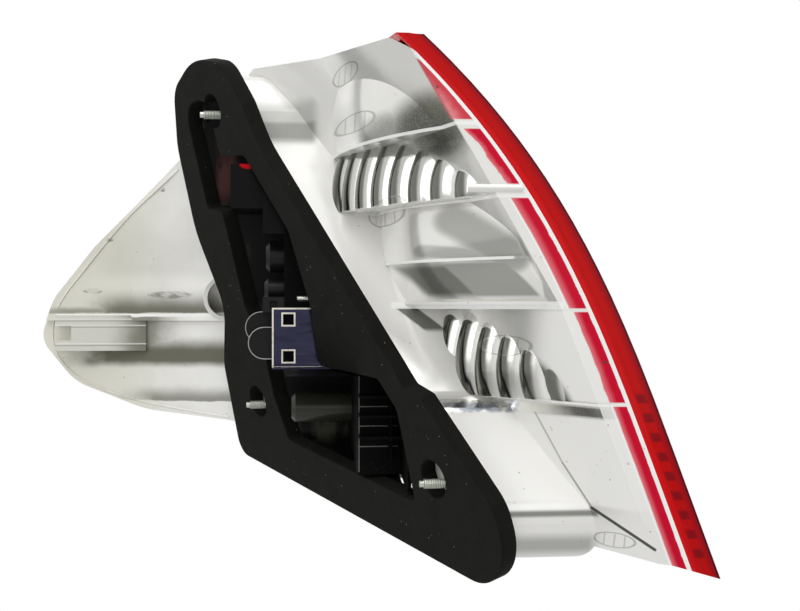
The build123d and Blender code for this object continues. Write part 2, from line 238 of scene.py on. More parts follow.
# Silvered housing: tinted strips beside the lens, weld line, satin wing, painted dark reflections and shade,
# painted highlights, uneven silvering and wear
housingLook = dict(
    silver=(0.80, 0.795, 0.765),
    dull=(0.68, 0.675, 0.63),
    satin=(0.70, 0.69, 0.61),
    pale=(0.88, 0.875, 0.85),
    paintedReflection=(0.085, 0.088, 0.07),
    wingShadeColour=(0.105, 0.104, 0.070),
    tint=(0.58, 0.0, 0.025),
    blush=(0.78, 0.16, 0.19),
    weldAndHighlightColour=(0.92, 0.92, 0.9),
    padColour=(0.30, 0.30, 0.27),
    speckColour=(0.05, 0.05, 0.042),
    ledgeColour=(0.20, 0.23, 0.30),
    rough=0.12,
    metal=0.45,
    matteMetal=0.12,
    share=dict(haze=0.4, pale=0.8, ledge=0.75, pads=0.6, lips=0.85, specks=0.6),
    roughBy=dict(haze=0.08, wing=0.24, lowerBox=0.3, farWall=0.3, lines=0.3),
    grain=dict(  # scale of each noise
        uneven=55.0, ragged=160.0, haze=11.0, fine=900.0, ledge=120.0, smudge=210.0, specks=150.0,
        skin=26.0, pits=420.0,
    ),
    # How far noise shifts an edge
    wander=dict(weld=0.0024, panel=0.002, stripeUp=0.003, stripeAlong=0.03, satin=0.04),
    soft=dict(  # half width of each edge
        weld=0.0003, strip=0.0004, flute=0.0008, fluteWall=0.0003, fluteStart=0.001, panel=0.001,
        stripe=0.016, lip=0.0002, lipEnd=0.001, ridge=0.0003, ridgeEnd=0.002, farWall=0.001,
        ledge=0.0008, ledgeEnd=0.004,
    ),
    sideFace=(-0.0535, -0.0560),  # the flat wall on the inboard side
    insideFace=(-0.0575, -0.0560),
    bowlDepth=(0.09, 0.085),
    matteFrom=(0.020, 0.045),
    satinFrom=(-0.135, -0.215),
    creaseDepth=(0.01, 0.005),
    wing=dict(x=(-0.085, -0.11), y=(0.17, 0.2)),
    lowerBox=dict(x=(0.000, 0.015), z=(0.0425, 0.0405)),
    underside=dict(z=(-0.006, -0.010), x=(0.01, 0.02)),
    farWall=dict(x=(0.046, 0.060), z=(0.050, 0.0985)),
    ledge=dict(x=(0.004, 0.046), y=(0.035, 0.030), z=(0.0402, 0.0455)),
    ledgeMirror=dict(y=(0.03, 0.02), z=(0.0405, 0.0470)),
    weld=(0.0140, 0.0163),
    blushEdge=(0.0004, -0.0006),
    stripLine=(0.0004, 0.0013),
    strips=[  # far: distance from the rim at which the tint ends
        dict(z=(-0.0500, 0.0485), far=0.0238, fade=0.00384, ragged=0.0012, share=1.0, edge=1.0),
        dict(z=(0.0500, 0.0980), far=0.0246, fade=0.00480, ragged=0.0032, share=1.0, edge=0.0),
        dict(z=(0.1000, 0.1580), far=0.0258, fade=0.00544, ragged=0.0012, share=1.0, edge=1.0),
        dict(z=(0.1655, 0.1940), far=0.0240, fade=0.00416, ragged=0.0080, share=1.0, edge=0.0),
        dict(z=(0.1990, 0.2380), far=0.0275, fade=0.00960, ragged=0.0140, share=0.8, edge=0.0),
    ],
    forwardFacing=(-0.06, -0.16),  # by the face's normal along X
    halfTurn=(-0.25, -0.60),
    halfTone=0.42,
    fullTone=0.90,
    flutes=[  # wall: the plane at which the flutes end
        dict(z=(0.1600, 0.1960), start=-0.0540, turn=(-0.66, -0.82), wall=(0.85, 0.26, 0.46, 0.0791)),
        dict(z=(0.0490, 0.0990), start=-0.0120, turn=(-0.44, -0.74), wall=(0.85, 0.42, 0.32, 0.0577)),
    ],
    # Places where dark reflections are painted
    paintedReflectionPlaces=[
        dict(middle=(-0.002, -0.030, 0.199), reach=(0.038, 0.060, 0.023), share=0.85),
        dict(middle=(-0.028, 0.006, 0.199), reach=(0.020, 0.050, 0.015), share=0.55),
    ],
    panels=[
        dict(x=(-0.0185, 0.033), y=(-0.0565, 0.09), z=(0.1065, 0.1252), lean=0.95, soft=0.0012, share=0.62),
        dict(x=(-0.0185, 0.005), y=(-0.0565, 0.09), z=(0.1065, 0.1252), lean=0.95, soft=0.0030, share=0.85),
        dict(x=(-0.018, -0.005), y=(0.037, 0.09), z=(0.0820, 0.1005), lean=1.25, soft=0.0010, share=0.88),
        dict(x=(-0.120, -0.064), y=(0.084, 0.2), z=(0.2070, 0.2215), lean=0.0, soft=0.0030, share=0.62),
        dict(x=(-0.120, -0.064), y=(0.084, 0.2), z=(0.2070, 0.2330), lean=0.0, soft=0.0040, share=0.34),
        dict(x=(0.020, 0.086), y=(-0.06, 0.03), z=(-0.0145, -0.0112), lean=0.0, soft=0.0011, share=0.75),
        dict(x=(0.020, 0.086), y=(-0.06, 0.03), z=(-0.0360, -0.0255), lean=0.0, soft=0.0040, share=0.50),
    ],
    paintedStreaks=[
        dict(start=(0.0080, 0.1490), end=(0.0360, 0.1275), width=0.0110, share=0.55),
        dict(start=(-0.0060, 0.1330), end=(0.0300, 0.1270), width=0.0045, share=0.40),
    ],
    wingShadeBands=[  # z: start, dark, still dark, end
        dict(z=(0.1160, 0.0975, 0.0965, 0.0952), x=(-0.222, -0.100), share=0.90),
        dict(z=(0.1020, 0.0975, 0.0965, 0.0952), x=(-0.262, -0.200), share=0.60),
        dict(z=(0.0800, 0.0665, 0.0600, 0.0525), x=(-0.235, -0.100), share=0.94),
        dict(z=(0.0930, 0.0925, 0.0665, 0.0660), x=(-0.215, -0.172), share=0.72),
        dict(z=(0.0420, 0.0300, 0.0290, 0.0282), x=(-0.196, -0.090), share=0.72),
        dict(z=(0.1800, 0.1400, 0.1300, 0.1180), x=(-0.225, -0.140), share=0.14),
    ],
    ridge=dict(x=(-0.256, -0.100), z=(0.0932, 0.0950)),
    lips=[
        dict(x=(-0.060, 0.030), z=(0.1961, 0.1979)),
        dict(x=(-0.040, 0.045), z=(0.1583, 0.1600)),
        dict(x=(-0.022, 0.036), z=(0.1262, 0.1278)),
        dict(x=(-0.020, 0.062), z=(0.0995, 0.1036)),
        dict(x=(0.030, 0.110), z=(0.0478, 0.0492)),
    ],
    creaseShades=[
        dict(start=(0.0554, 0.0415), end=(0.0690, 0.0140), width=0.0005, colour=(0.5, 0.5, 0.47)),
        dict(start=(0.0690, 0.0140), end=(0.0833, -0.0099), width=0.0006, colour=(0.4, 0.4, 0.37)),
        dict(start=(0.0833, -0.0099), end=(0.1108, -0.0285), width=0.0010, colour=(0.10, 0.10, 0.09)),
    ],
    padLine=0.13,
    pads=[
        dict(middle=(-0.0485, 0.2395), reach=(0.0060, 0.0046)),
        dict(middle=(-0.0427, 0.2105), reach=(0.0095, 0.0050)),
        dict(middle=(-0.0225, 0.1575), reach=(0.0085, 0.0070)),
        dict(middle=(0.0395, 0.0788), reach=(0.0115, 0.0055)),
        dict(middle=(0.0940, -0.0265), reach=(0.0085, 0.0042)),
    ],
    smudges=[
        dict(middle=(-0.2284, 0.2587, 0.1126), reach=(0.0085, 0.012, 0.0022), share=0.85),
        dict(middle=(-0.1690, 0.2456, 0.1095), reach=(0.0190, 0.020, 0.0032), share=0.55),
        dict(middle=(-0.1735, 0.2349, 0.1881), reach=(0.0022, 0.010, 0.0016), share=0.9),
        dict(middle=(-0.2147, 0.2520, 0.1513), reach=(0.0030, 0.010, 0.0016), share=0.6),
        dict(middle=(0.0963, -0.0580, 0.0175), reach=(0.0010, 0.004, 0.0007), share=0.9),
        dict(middle=(0.0835, -0.0580, 0.0715), reach=(0.0014, 0.004, 0.0009), share=0.9),
        dict(middle=(-0.0060, -0.0580, 0.2155), reach=(0.0009, 0.006, 0.0010), share=0.9),
    ],
)
silver = Finish("silveredPlastic", Specular_IOR_Level=0.15)
silverGrain = housingLook["grain"]
silverSoft = housingLook["soft"]
silverWander = housingLook["wander"]
fromRim = beforeRim(silver)
uneven = silver.grain(silverGrain["uneven"], 3.0, 0.6) - 0.5
sideFace = silver.ramp(silver.y, *housingLook["sideFace"])
insideFace = silver.ramp(silver.y, *housingLook["insideFace"])
inBowls = silver.ramp(silver.y, *housingLook["bowlDepth"])
wing = silver.region(**housingLook["wing"])


# Red strips, their paler outer edge and the fine line beside some of them
def tintStrips():
    soft = silverSoft["strip"]
    weldEnd = housingLook["weld"][1]
    blushFrom, blushTo = housingLook["blushEdge"]
    lineFrom, lineTo = housingLook["stripLine"]
    pastWeld = sideFace * silver.ramp(fromRim, weldEnd, weldEnd + soft)
    tints = []
    blushes = []
    edges = []
    for row in housingLook["strips"]:
        far = row["far"]
        zone = silver.band(silver.z, *row["z"], soft) * pastWeld
        reach = fromRim + uneven * row["ragged"]
        tints.append(silver.ramp(reach, far, far - row["fade"]) * zone * row["share"])
        blushes.append(silver.ramp(reach, far + blushFrom, far + blushTo) * zone * row["share"])
        edges.append(silver.band(fromRim, far + lineFrom, far + lineTo, soft / 2) * zone * row["edge"])
    return strongest(tints), strongest(blushes), strongest(edges)


# Painted shade: the half of each flute that faces forward is dark, up to the bowl's wall
def fluteShades():
    wallSoft = silverSoft["fluteWall"]
    startSoft = silverSoft["fluteStart"]
    faceX = silver.split(silver.node("ShaderNodeNewGeometry", {}, "Normal"))[0]
    facing = silver.ramp(faceX, *housingLook["forwardFacing"]) * (1.0 - sideFace)
    halfTone = silver.ramp(faceX, *housingLook["halfTurn"]) * housingLook["halfTone"]
    shades = []
    zones = []
    for row in housingLook["flutes"]:
        acrossX, acrossY, acrossZ, wallAt = row["wall"]
        toWall = silver.x * acrossX + silver.y * acrossY + silver.z * acrossZ
        zone = silver.band(silver.z, *row["z"], silverSoft["flute"]) * facing
        zone = zone * silver.ramp(toWall, wallAt + wallSoft, wallAt - wallSoft)
        zone = zone * silver.ramp(silver.x, row["start"] - startSoft, row["start"] + startSoft)
        fullTone = silver.ramp(faceX, *row["turn"]) * housingLook["fullTone"]
        shades.append(halfTone.most(fullTone) * zone)
        zones.append(zone)
    return strongest(shades), strongest(zones)


# Painted dark reflections and shading with straight edges
def paintedReflectionPanels():
    shares = []
    for row in housingLook["panels"]:
        shifted = silver.x - (row["z"][1] - silver.z) * row["lean"] + uneven * silverWander["panel"]
        share = silver.band(silver.z, *row["z"], row["soft"]) * silver.band(shifted, *row["x"], row["soft"])
        shares.append(share * silver.band(silver.y, *row["y"], silverSoft["panel"]) * row["share"])
    return strongest(shares)


# Painted shade: dark bands across the wing
def wingShades():
    height = silver.z + uneven * silverWander["stripeUp"]
    along = silver.x + uneven * silverWander["stripeAlong"]
    shares = []
    for row in housingLook["wingShadeBands"]:
        top, dark, still, end = row["z"]
        share = silver.ramp(height, top, dark) * silver.ramp(height, end, still)
        shares.append(share * silver.band(along, *row["x"], silverSoft["stripe"]) * row["share"])
    return strongest(shares) * wing


def levelLine(row, soft, endSoft):
    return silver.band(silver.z, *row["z"], soft) * silver.band(silver.x, *row["x"], endSoft)


# Pale lines: the weld, the strips' edges, and painted highlights along the lips between the bowls and along
# the wing's ridge
def paleLines(stripEdges):
    ragged = silver.grain(silverGrain["ragged"], 3.0, 0.6) - 0.5
    weld = silver.band(fromRim + ragged * silverWander["weld"], *housingLook["weld"], silverSoft["weld"])
    lips = [levelLine(row, silverSoft["lip"], silverSoft["lipEnd"]) for row in housingLook["lips"]]
    lip = strongest(lips) * inBowls * housingLook["share"]["lips"]
    ridge = levelLine(housingLook["ridge"], silverSoft["ridge"], silverSoft["ridgeEnd"]) * wing
    return (weld * sideFace).most(stripEdges).most(lip).most(ridge)


# Painted broken blue-grey reflection on the ledge over the lower box
def ledgeShade():
    limits = housingLook["ledge"]
    broken = silver.ramp(silver.grain(silverGrain["ledge"], 2.0), 0.40, 0.55)
    share = levelLine(limits, silverSoft["ledge"], silverSoft["ledgeEnd"])
    return share * silver.ramp(silver.y, *limits["y"]) * broken


def spots(rows, soft):
    return strongest([silver.blob(row["middle"], row["reach"], soft) * row["share"] for row in rows])


def smudges():
    broken = silver.ramp(silver.grain(silverGrain["smudge"], 4.0, 0.7, (0.5, 1.0, 1.5)), 0.42, 0.56)
    specks = silver.specks(silverGrain["specks"], 0.09) * housingLook["share"]["specks"]
    return (spots(housingLook["smudges"], 0.6) * (0.12 + broken * 0.88)).most(specks)


def strokes(rows):
    return [silver.stroke(row["start"], row["end"], row["width"]) for row in rows]


def housingFinish():
    look = housingLook
    share = look["share"]
    roughBy = look["roughBy"]
    tint, blush, stripEdges = tintStrips()
    fluteShade, fluted = fluteShades()
    lines = paleLines(stripEdges)
    # Painted dark reflections with a fine grain; these places are also more mirror-like
    paintedReflection = spots(look["paintedReflectionPlaces"], 0.85) * insideFace
    grainy = (paintedReflection + (silver.grain(silverGrain["fine"], 2.0) - 0.5) * 0.6 * paintedReflection).least(1.0)
    # Painted dark reflection streaks on the middle bowl
    paintedStreaks = [mark * row["share"] for mark, row in zip(strokes(look["paintedStreaks"]), look["paintedStreaks"])]
    streak = strongest(paintedStreaks) * inBowls * insideFace
    dark = grainy.most(paintedReflectionPanels()).most(streak).most(fluteShade)
    haze = silver.ramp(silver.grain(silverGrain["haze"], 3.0, 0.55), 0.35, 0.75)
    matte = silver.ramp(silver.y, *look["matteFrom"])
    lowerBox = silver.region(**look["lowerBox"])
    farWall = silver.ramp(silver.x, *look["farWall"]["x"])
    farWall = farWall * silver.band(silver.z, *look["farWall"]["z"], silverSoft["farWall"])
    satin = wing * silver.ramp(silver.x + uneven * silverWander["satin"], *look["satinFrom"])
    inboard = silver.ramp(silver.y, *look["creaseDepth"])
    # Painted shade along the creases of the lower box
    creaseShades = []
    for mark, row in zip(strokes(look["creaseShades"]), look["creaseShades"]):
        creaseShades.append((mark * inboard, row["colour"]))
    pads = [silver.oval(row["middle"], row["reach"], look["padLine"]) for row in look["pads"]]
    pads = strongest(pads) * inBowls
    colour = silver.paint(look["silver"], [
        (haze * share["haze"], look["dull"]),
        (matte.most(lowerBox).most(farWall) * share["pale"], look["pale"]),
        (satin, look["satin"]),
        (wingShades(), look["wingShadeColour"]),
        (dark, look["paintedReflection"]),
        (ledgeShade() * share["ledge"], look["ledgeColour"]),
        *creaseShades,
        (pads * share["pads"], look["padColour"]),
        (blush, look["blush"]),
        (tint, look["tint"]),
        (lines, look["weldAndHighlightColour"]),
        (smudges(), look["speckColour"]),
    ])
    ledgeMirror = silver.band(silver.z, *look["ledgeMirror"]["z"], silverSoft["ledge"])
    ledgeMirror = ledgeMirror * silver.ramp(silver.y, *look["ledgeMirror"]["y"])
    bright = fluted.most(paintedReflection).most(silver.region(**look["underside"])).most(ledgeMirror)
    mirror = look["metal"] - matte.most(lowerBox) * (look["metal"] - look["matteMetal"])
    mirror = mirror.most(bright) * (1.0 - farWall * 0.7) * (1.0 - blush * 0.8) * (1.0 - lines * 0.9)
    rough = look["rough"] + haze * roughBy["haze"] + wing * roughBy["wing"] + lowerBox * roughBy["lowerBox"]
    rough = rough + farWall * roughBy["farWall"] + lines * roughBy["lines"]
    silver.set(Base_Color=colour, Metallic=mirror, Roughness=rough)
    surface = silver.grain(silverGrain["skin"], 2.0) + silver.grain(silverGrain["pits"], 2.0) * 0.04
    silver.bump(surface + pads * 0.05, 0.12, 0.003)


housingFinish()
dress(nodes["housing"], silver)

# The collar and flange inside the seal's opening are black; the outline lies in the seal's plane, in mm
insideLook = dict(
    black=(0.0045, 0.0045, 0.0045),
    sealYaw=27.0,
    sealPitch=14.0,
    sealThick=10.5,
    margin=7.0,  # also black this far outside the outline
    plateStep=0.060,
    upperPlate=-0.0385,
    lowerPlate=-0.0065,
    wingFrom=0.2,
    outline=[
        (-219, 248), (-182, 248), (-181, 208), (-146, 205), (-108, 153), (-101, 104), (-107, 65), (-38, 60),
        (-24, 42), (-25, -15), (-173, 9), (-181, 40), (-181, 68), (-195, 104), (-197, 171), (-219, 175),
    ],
    # Cloudy patches over the black: a painted reddish reflection, a small pale spot and two olive-brown
    # patches
    patches=[
        dict(middle=(-0.1270, 0.179, 0.197), reach=(0.013, 0.03, 0.028), colour=(0.075, 0.032, 0.027)),
        dict(middle=(-0.1376, 0.176, 0.2264), reach=(0.004, 0.02, 0.007), colour=(0.30, 0.30, 0.27)),
        dict(middle=(-0.0600, 0.160, 0.0180), reach=(0.026, 0.03, 0.020), colour=(0.055, 0.057, 0.040)),
        dict(middle=(-0.1150, 0.172, 0.1350), reach=(0.010, 0.03, 0.022), colour=(0.040, 0.036, 0.028)),
    ],
)
insideBlack = Finish("insideBlack", Roughness=0.35, Specular_IOR_Level=0.1)
cloudy = insideBlack.ramp(insideBlack.grain(70.0, 3.0, 0.6, (1.0, 1.0, 0.3)), 0.38, 0.6)
insideLayers = []
for patch in insideLook["patches"]:
    insideLayers.append((insideBlack.blob(patch["middle"], patch["reach"], 0.9) * cloudy, patch["colour"]))
insideBlack.set(Base_Color=insideBlack.paint(insideLook["black"], insideLayers))
insideBlack.bump(insideBlack.grain(300.0, 2.0), 0.2, 0.0004)


def nearOpening(point):
    yaw = math.radians(insideLook["sealYaw"])
    pitch = math.radians(insideLook["sealPitch"])
    depthY = insideLook["sealThick"] * math.cos(pitch) * math.sin(yaw)
    depthZ = insideLook["sealThick"] * math.sin(pitch)
    up = (point.z * 1000 - depthZ) / math.cos(pitch)
    across = -(point.y * 1000 - depthY + math.sin(pitch) * math.sin(yaw) * up) / math.cos(yaw)
    spot = Vector((across, up))
    corners = [Vector(corner) for corner in insideLook["outline"]]
    inside = False
    nearest = math.inf
    for start, end in zip(corners, corners[1:] + corners[:1]):
        run = end - start
        if (start.y > up) != (end.y > up):
            inside = inside != (across < start.x + (up - start.y) / run.y * run.x)
        along = max(0.0, min(1.0, (spot - start).dot(run) / run.length_squared))
        nearest = min(nearest, (start + run * along - spot).length)
    return inside or nearest < insideLook["margin"]


shell = nodes["housing"].data
shell.materials.append(insideBlack.material)
for face in shell.polygons:
    plate = insideLook["upperPlate" if face.center.z > insideLook["plateStep"] else "lowerPlate"]
    if face.center.x < plate and face.center.y < insideLook["wingFrom"] and nearOpening(face.center):
        face.material_index = 1

# Raised bead that follows the wing's edge
beadLook = dict(
    radius=0.0007,
    castFrom=0.195,
    route=[
        (-0.1615, 0.2025), (-0.1807, 0.1863), (-0.1999, 0.1694), (-0.2229, 0.1433), (-0.2383, 0.1241),
        (-0.2483, 0.1118), (-0.2560, 0.0988), (-0.2598, 0.0873), (-0.2598, 0.0734), (-0.2552, 0.0612),
        (-0.2460, 0.0504), (-0.2322, 0.0412), (-0.2153, 0.0343), (-0.1922, 0.0281), (-0.1615, 0.0220),
        (-0.1246, 0.0166),
    ],
)
beadPoints = []
for x, z in beadLook["route"]:
    found, hit, _, _ = nodes["housing"].ray_cast((x, beadLook["castFrom"], z), (0.0, 1.0, 0.0))
    if found:
        beadPoints.append((x, hit.y, z, 1.0))
beadCurve = bpy.data.curves.new("wingBead", "CURVE")
beadCurve.dimensions = "3D"
beadCurve.bevel_depth = beadLook["radius"]
beadCurve.bevel_resolution = 2
beadLine = beadCurve.splines.new("NURBS")
beadLine.points.add(len(beadPoints) - 1)
for point, spot in zip(beadLine.points, beadPoints):
    point.co = spot
beadLine.order_u = 3
beadLine.use_endpoint_u = True
beadLine.resolution_u = 6
newPiece("wingBead", beadCurve, silver)
print("housing finished, bead points", len(beadPoints))

# Red lens: dark outer edge and the row of optics on the inboard face, flutes and reflex cells outside
lensLook = dict(
    bright=(0.66, 0.002, 0.004),
    red=(0.52, 0.0, 0.0),
    outer=(0.33, 0.0, 0.004),
    deep=(0.085, 0.0, 0.006),
    rough=0.12,
    coat=0.08,
    outerCoat=0.80,
    innerFace=(-0.050, -0.056),
    redFrom=(0.0118, 0.0096),
    outerFrom=(0.0060, 0.0022),
    edgeFrom=(0.00195, 0.00078),
    streakScale=(900.0, 12.0, 12.0),
    streakShare=0.45,
    squareTop=0.0520,
    squareEvery=0.010375,
    squareRim=(0.0044, 0.0096),
    squareRows=(-0.036, 0.057),
    squareShare=0.62,
    fluteEvery=0.0070,
    fluteShare=0.4,
    cell=0.0040,
    cellShare=0.7,
    reflexTop=0.0440,
    chambers=(0.0480, 0.1000, 0.1590, 0.1970),
    chamberHalf=0.0011,
    chamberShare=0.8,
)
red = Finish("redLens", IOR=1.49, Specular_IOR_Level=0.12, Coat_Roughness=0.05)


def opticSquares(rim):
    row = ((red.z - lensLook["squareTop"]) / lensLook["squareEvery"] + 0.5).part() - 0.5
    square = red.ramp(row.size(), 0.30, 0.16) * red.band(rim, *lensLook["squareRim"], 0.0010)
    return square * red.band(red.z, *lensLook["squareRows"], 0.0006) * lensLook["squareShare"]


# Upright flutes above and reflex cells below, their relief drawn as painted shade; a line at each chamber's
# wall
def outerOptics():
    around = red.y - red.x
    flutes = ((around / lensLook["fluteEvery"]).part() - 0.5).size() * 2.0 * lensLook["fluteShare"]
    reflex = red.ramp(red.z, lensLook["reflexTop"], lensLook["reflexTop"] - 0.0006)
    cells = (around / lensLook["cell"]).part().most((red.z / lensLook["cell"]).part())
    cells = red.ramp(cells, 0.6, 0.95) * lensLook["cellShare"]
    half = lensLook["chamberHalf"]
    walls = [red.band(red.z, level - half, level + half, 0.0004) for level in lensLook["chambers"]]
    walls = strongest(walls) * lensLook["chamberShare"]
    return (flutes * (1.0 - reflex)).most(cells * reflex).most(walls)


def lensFinish():
    look = lensLook
    rim = beforeRim(red)
    inner = red.ramp(red.y, *look["innerFace"])
    outside = 1.0 - inner
    scaleRim, scaleY, scaleZ = look["streakScale"]
    alongRim = red.node("ShaderNodeCombineXYZ", {}, X=rim * scaleRim, Y=red.y * scaleY, Z=red.z * scaleZ)
    streak = red.node("ShaderNodeTexNoise", {}, Vector=alongRim, Scale=1.0, Detail=3.0)
    streak = red.ramp(streak, 0.42, 0.72) * inner
    colour = red.paint(look["bright"], [
        (red.ramp(rim, *look["redFrom"]) * inner, look["red"]),
        (red.ramp(rim, *look["outerFrom"]) * inner, look["outer"]),
        (streak * look["streakShare"], look["outer"]),
        (outerOptics() * outside, look["outer"]),
        (opticSquares(rim) * inner, look["deep"]),
        (red.ramp(rim, *look["edgeFrom"]) * inner, look["deep"]),
    ])
    coat = look["coat"] + outside * (look["outerCoat"] - look["coat"])
    red.set(Base_Color=colour, Roughness=look["rough"] + streak * 0.1, Coat_Weight=coat)
    red.bump(red.grain(35.0, 2.0), 0.05, 0.002)


lensFinish()
dress(nodes["lens_red"], red)


# Clear and amber windows with fine upright flutes
def windowFinish(name, colour, share):
    made = Finish(name, Base_Color=colour, Roughness=0.06, IOR=1.49)
    made.set(Transmission_Weight=share, Coat_Weight=0.3)
    made.bump((made.y * 1400.0).sine(), 0.25, 0.0008)
    return made


dress(nodes["lens_reversing"], windowFinish("clearWindow", (0.88, 0.89, 0.88), 0.75))
dress(nodes["lens_indicator"], windowFinish("amberWindow", (0.80, 0.34, 0.03), 0.55))
print("lens finished")


# Moulded plastics: a soft cloud in the colour, dust on some, a fine grain
mouldedLook = dict(
    cloud=45.0,
    shade=0.72,
    shadeShare=0.6,
    roughBy=0.08,
    dustScale=520.0,
    dustColour=(0.45, 0.45, 0.42),
)


def darker(colour, share):
    return tuple(part * share for part in colour)


def plastic(name, colour, rough, grainScale=700.0, strength=0.12, dust=0.0, gloss=0.3):
    look = mouldedLook
    made = Finish(name, Specular_IOR_Level=gloss)
    cloud = made.ramp(made.grain(look["cloud"], 3.0, 0.6), 0.35, 0.75)
    tone = made.blend(cloud * look["shadeShare"], colour, darker(colour, look["shade"]))
    if dust:
        tone = made.blend(made.specks(look["dustScale"], 0.13) * dust, tone, look["dustColour"])
    made.set(Base_Color=tone, Roughness=rough + cloud * look["roughBy"])
    made.bump(made.grain(grainScale, 2.0), strength, 0.0004)
    return made


# Metals: darker and rougher where worn
metalLook = dict(wear=240.0, shade=0.6, shadeShare=0.5, roughBy=0.15, skin=500.0)


def metal(name, colour, rough, stretch=(1.0, 1.0, 1.0)):
    look = metalLook
    made = Finish(name, Metallic=1.0)
    worn = made.ramp(made.grain(look["wear"], 3.0, 0.6, stretch), 0.35, 0.75)
    tone = made.blend(worn * look["shadeShare"], colour, darker(colour, look["shade"]))
    made.set(Base_Color=tone, Roughness=rough + worn * look["roughBy"])
    made.bump(made.grain(look["skin"], 2.0, 0.5, stretch), 0.1, 0.0003)
    return made


# Finishes of the small pieces
carrierBlack = plastic("carrierBlack", (0.0022, 0.0022, 0.0022), 0.4, dust=0.15, gloss=0.05)
holderBlack = plastic("holderBlack", (0.006, 0.006, 0.0065), 0.32, dust=0.1, gloss=0.22)
tabBlack = plastic("tabBlack", (0.005, 0.005, 0.005), 0.34, gloss=0.2)
greyHolder = plastic("greyHolder", (0.026, 0.027, 0.020), 0.22)
ringWhite = plastic("ringWhite", (0.82, 0.82, 0.79), 0.28, 300.0, 0.05)
opticDark = plastic("opticDark", (0.09, 0.0, 0.004), 0.2)
reflexRed = plastic("reflexRed", (0.45, 0.0, 0.01), 0.18, 260.0, 0.5)
zinc = metal("zincSteel", (0.56, 0.58, 0.52), 0.28)
sheetBright = metal("sheetBright", (0.036, 0.036, 0.066), 0.12, (0.25, 1.0, 1.6))
sheetEdge = metal("sheetEdge", (0.80, 0.76, 0.66), 0.25)
contactBrass = metal("contactBrass", (0.62, 0.43, 0.2), 0.25)
glass = Finish("bulbGlass", Base_Color=(0.86, 0.87, 0.86), Roughness=0.05, IOR=1.45)
glass.set(Transmission_Weight=0.8)
glass.bump(glass.grain(90.0, 2.0), 0.05, 0.001)

# Guide on the wing: darker towards the seal, three fine ribs with a shade under each
guideLook = dict(
    pale=(0.62, 0.62, 0.56),
    dark=(0.13, 0.13, 0.09),
    darkShare=0.9,
    ribColour=(0.8, 0.8, 0.76),
    ribShare=0.6,
    shadeShare=0.5,
    darkFrom=(-0.218, -0.190),
    ribs=[(0.0858, 0.0868), (0.0718, 0.0728), (0.0905, 0.0915)],
    shadeUnder=(0.0012, 0.0004),
)
guideGrey = Finish("guideGrey", Roughness=0.32)
guideRibs = strongest([guideGrey.band(guideGrey.z, *rib, 0.0002) for rib in guideLook["ribs"]])
shadeLow, shadeHigh = guideLook["shadeUnder"]
underRibs = []
for ribLow, _ in guideLook["ribs"]:
    underRibs.append(guideGrey.band(guideGrey.z, ribLow - shadeLow, ribLow - shadeHigh, 0.0003))
guideAlong = guideGrey.x + (guideGrey.grain(60.0, 2.0) - 0.5) * 0.012
guideGrey.set(Base_Color=guideGrey.paint(guideLook["pale"], [
    (guideGrey.ramp(guideAlong, *guideLook["darkFrom"]) * guideLook["darkShare"], guideLook["dark"]),
    (strongest(underRibs) * guideLook["shadeShare"], guideLook["dark"]),
    (guideRibs * guideLook["ribShare"], guideLook["ribColour"]),
]))
guideGrey.bump(guideRibs + guideGrey.grain(300.0, 2.0) * 0.2, 0.3, 0.0004)

# Plug socket with a red glint of the lens on its upper corner
socketLook = dict(
    black=(0.0026, 0.0026, 0.0026),
    shade=(0.0014, 0.0014, 0.0014),
    glint=(0.55, 0.0, 0.005),
    glintAt=(-0.1080, 0.112, 0.1945),
    glintReach=(0.0060, 0.03, 0.0042),
)
socketBlack = Finish("socketBlack", Roughness=0.28, Specular_IOR_Level=0.1)
socketBlack.set(Base_Color=socketBlack.paint(socketLook["black"], [
    (socketBlack.ramp(socketBlack.grain(45.0, 3.0), 0.35, 0.75), socketLook["shade"]),
    (socketBlack.blob(socketLook["glintAt"], socketLook["glintReach"], 0.5), socketLook["glint"]),
]))
socketBlack.bump(socketBlack.grain(700.0, 2.0), 0.12, 0.0004)

# Which small piece has which finish
plainLooks = dict(
    bulb_carrier=carrierBlack, connector_block=socketBlack, connector_pins=contactBrass,
    holder_tail=holderBlack, holder_indicator=holderBlack, holder_reversing=greyHolder,
    bulb_tail=glass, bulb_indicator=glass, bulb_reversing=glass, latch_box=holderBlack,
    release_tab_upper=tabBlack, release_tab_lower=tabBlack, contact_bracket=sheetBright,
    carrier_pin=zinc, contact_strips=contactBrass, locating_guide=guideGrey, breather_ring=ringWhite,
    optic_row=opticDark, reflex_reflector=reflexRed,
)
for name, finish in plainLooks.items():
    dress(nodes[name], finish)

# Rounded edges of the moulded pieces
softEdges = dict(
    bulb_carrier=0.0005, connector_block=0.0006, latch_box=0.0005, release_tab_upper=0.0004,
    release_tab_lower=0.0004, contact_bracket=0.0002, locating_guide=0.0006, breather_ring=0.0006,
    holder_tail=0.0004, holder_indicator=0.0004, holder_reversing=0.0005,
)
for name, width in softEdges.items():
    edge = nodes[name].modifiers.new("softEdge", "BEVEL")
    edge.width = width
    edge.segments = 2
    edge.limit_method = "ANGLE"
    edge.angle_limit = math.radians(40)
print("small pieces finished")

# Foam seal with rounded edges and a slightly uneven skin
foamLook = dict(
    colour=(0.0080, 0.0080, 0.0066),
    shade=(0.0032, 0.0032, 0.0028),
    dustColour=(0.3, 0.3, 0.26),
    dust=0.9,
    edge=0.0016,
)
foam = Finish("sealFoam", Roughness=0.88, Specular_IOR_Level=0.12)
foam.set(Base_Color=foam.paint(foamLook["colour"], [
    (foam.ramp(foam.grain(70.0, 4.0, 0.65), 0.3, 0.75) * 0.5, foamLook["shade"]),
    (foam.specks(210.0, 0.085) * foamLook["dust"], foamLook["dustColour"]),
]))
foam.bump(foam.grain(1500.0, 2.0) + foam.grain(260.0, 2.0) * 0.6, 0.3, 0.0006)


